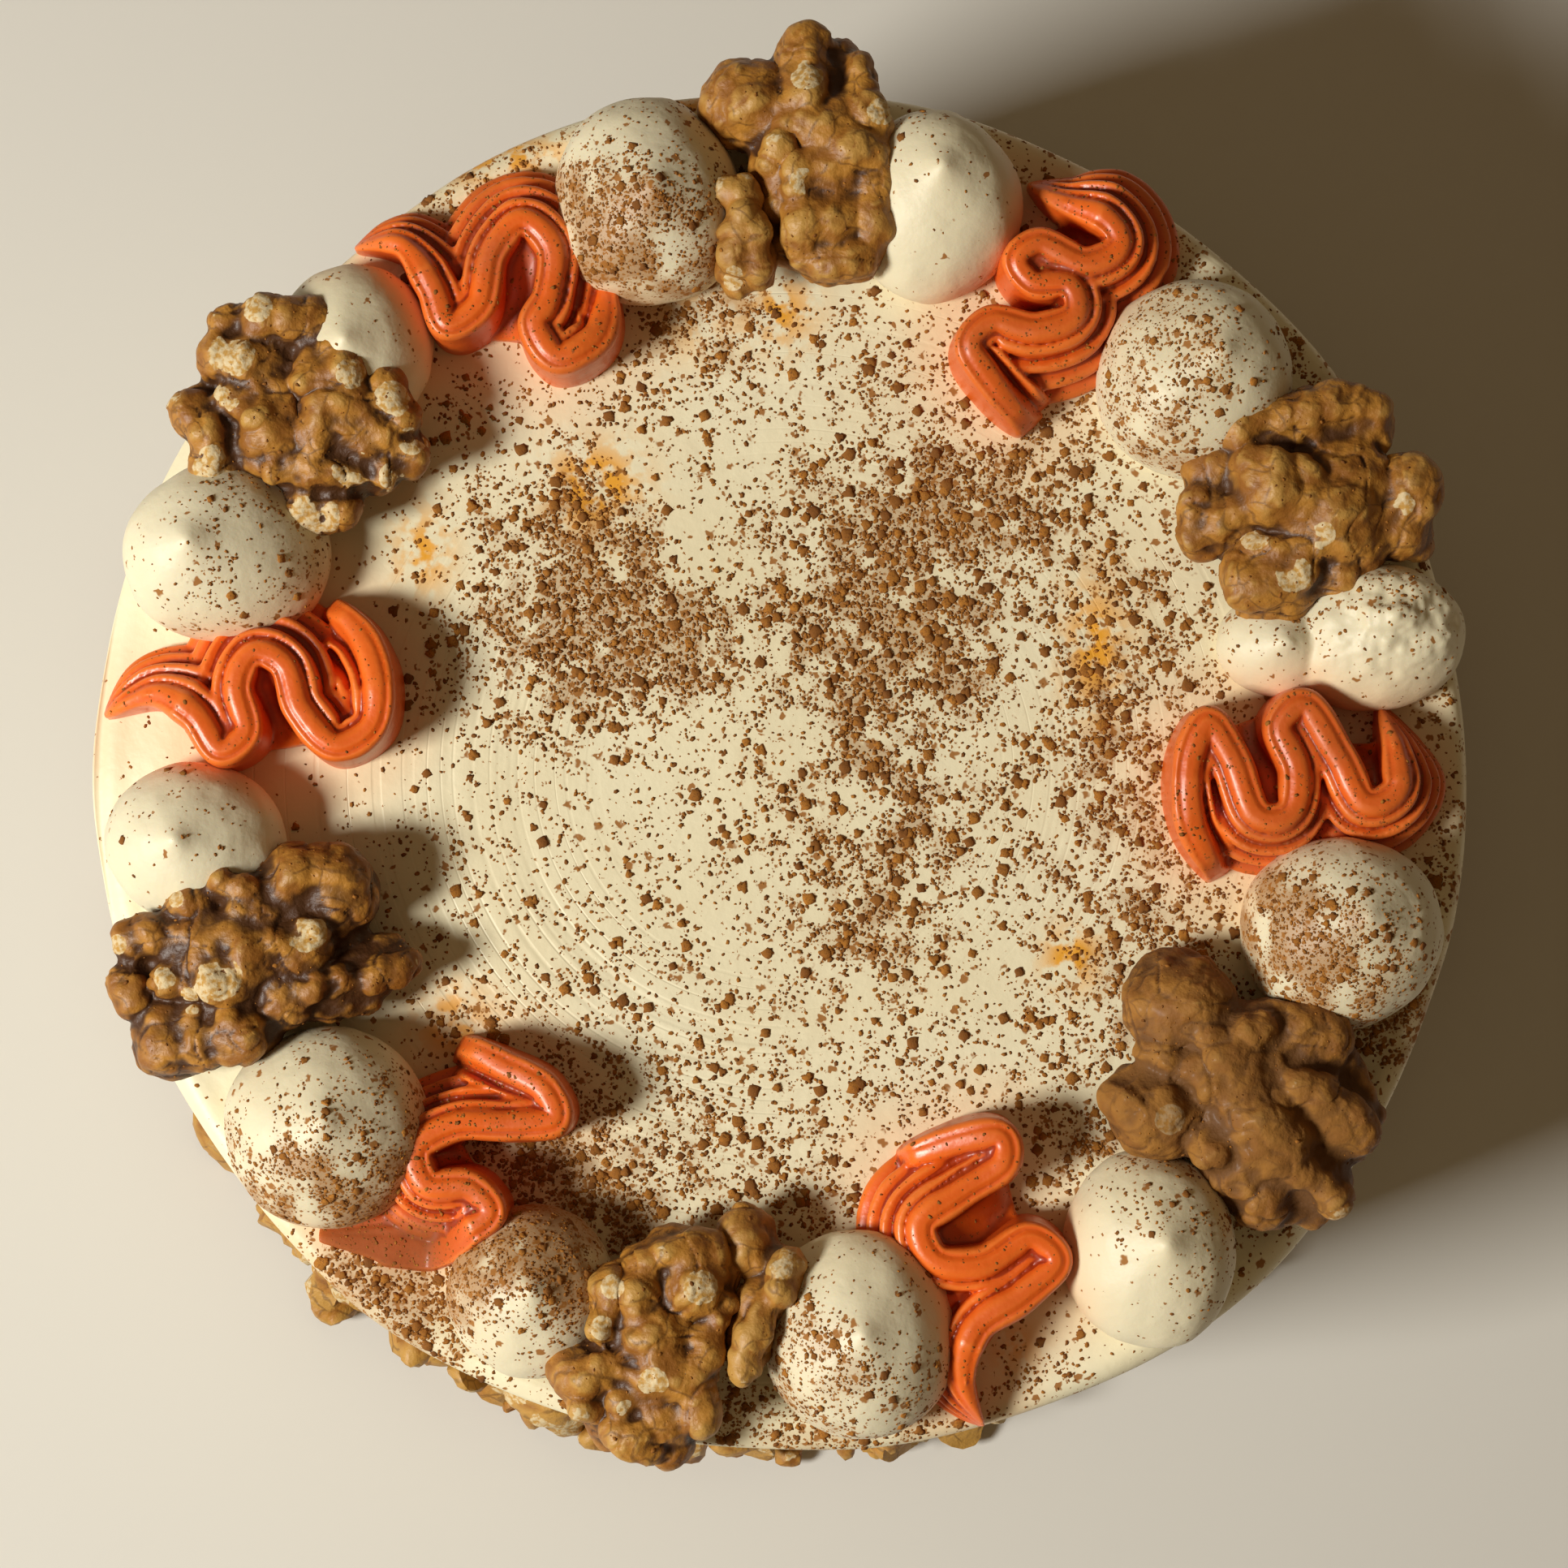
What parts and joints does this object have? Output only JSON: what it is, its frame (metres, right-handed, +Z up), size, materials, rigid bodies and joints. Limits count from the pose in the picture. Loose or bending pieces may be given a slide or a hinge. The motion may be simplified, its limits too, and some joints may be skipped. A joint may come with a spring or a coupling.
{
  "type": "iced carrot cake",
  "caption": "Whole round carrot cake in cream icing, its top edge piped with dollops and orange ruffles between walnut halves, with chopped walnuts round the foot.",
  "frame": {"origin": "centre of the flat underside of the cake, where it rests", "axes": "+Z up through the middle of the cake, +X to the right and +Y away from a viewer who stands at the camera's side"},
  "size_m": [0.1847, 0.1858, 0.0975],
  "materials": {
    "cream_icing": "satin, spread icing",
    "piped_cream": "satin, piped icing",
    "orange_icing": "glossy, piped icing",
    "walnut": "oily sheen",
    "chopped_walnut": "oily sheen"
  },
  "bodies": {
    "root": {"iced_cake": "cream_icing", "nut_band": "chopped_walnut", "dollop_01": "piped_cream", "dollop_02": "piped_cream", "dollop_03": "piped_cream", "dollop_04": "piped_cream", "dollop_05": "piped_cream", "dollop_06": "piped_cream", "dollop_07": "piped_cream", "dollop_08": "piped_cream", "dollop_09": "piped_cream", "dollop_10": "piped_cream", "dollop_11": "piped_cream", "dollop_12": "piped_cream", "ruffle_1": "orange_icing", "ruffle_2": "orange_icing", "ruffle_3": "orange_icing", "ruffle_4": "orange_icing", "ruffle_5": "orange_icing", "ruffle_6": "orange_icing", "walnut_1": "walnut", "walnut_2": "walnut", "walnut_3": "walnut", "walnut_4": "walnut", "walnut_5": "walnut", "walnut_6": "walnut", "walnut_chip_1": "walnut", "walnut_chip_2": "walnut"}
  },
  "joints": []
}
